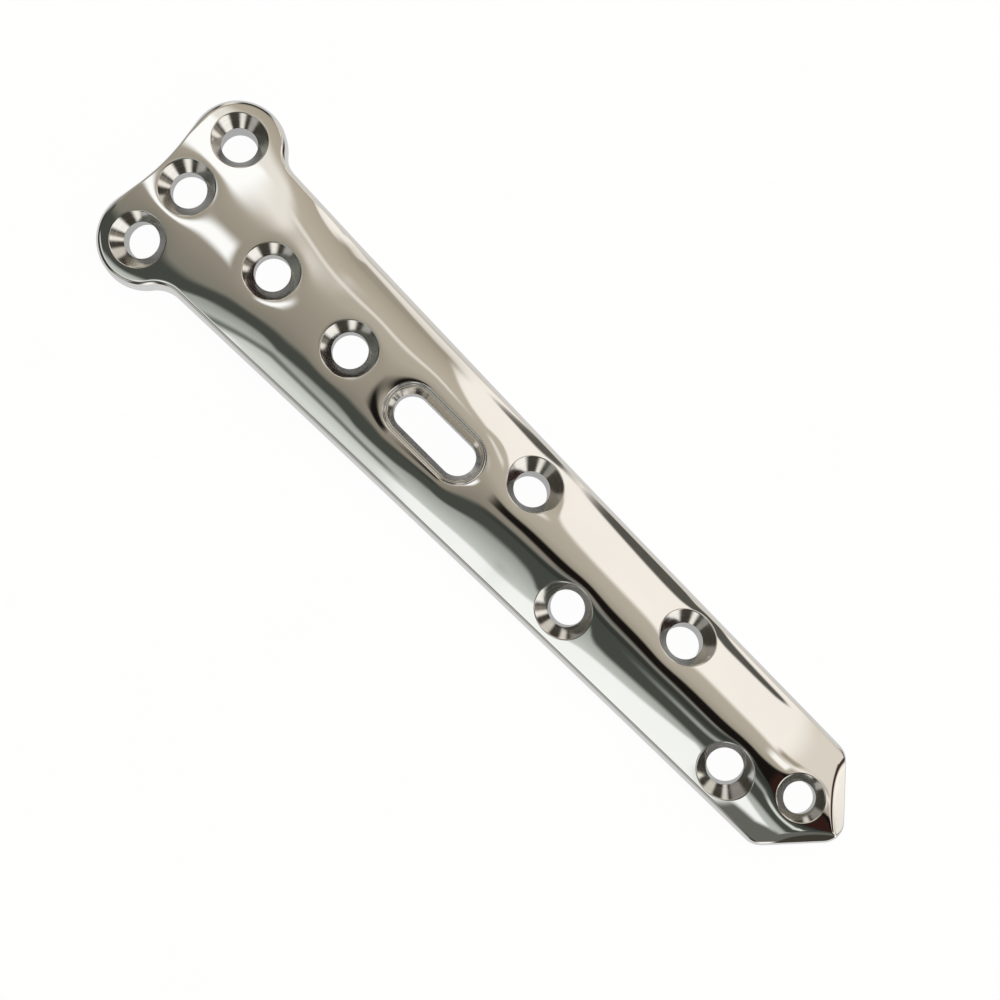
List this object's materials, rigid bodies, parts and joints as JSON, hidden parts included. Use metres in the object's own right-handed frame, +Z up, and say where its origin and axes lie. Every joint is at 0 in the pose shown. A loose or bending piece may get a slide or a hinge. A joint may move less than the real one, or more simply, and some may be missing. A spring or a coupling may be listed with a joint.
{
  "type": "orthopedic bone plate",
  "caption": "Flat metal bone plate with a broad lobed head and a tapering pointed shaft, pierced by countersunk screw holes and one long slot, for holding a broken bone.",
  "frame": {"origin": "middle of the bounding box in plan, on the surface that the plate stands on, which is the side that lies on the bone", "axes": "+X along the plate from the broad head to the pointed tip, +Z up, away from the bone, +Y to the left when looking from head to tip"},
  "size_m": [0.1346, 0.0322, 0.0053],
  "materials": {
    "polished_steel": "mirror-polished implant stainless steel, with turned seats and matt bores"
  },
  "bodies": {
    "root": {"bone_plate": "polished_steel"}
  },
  "joints": []
}
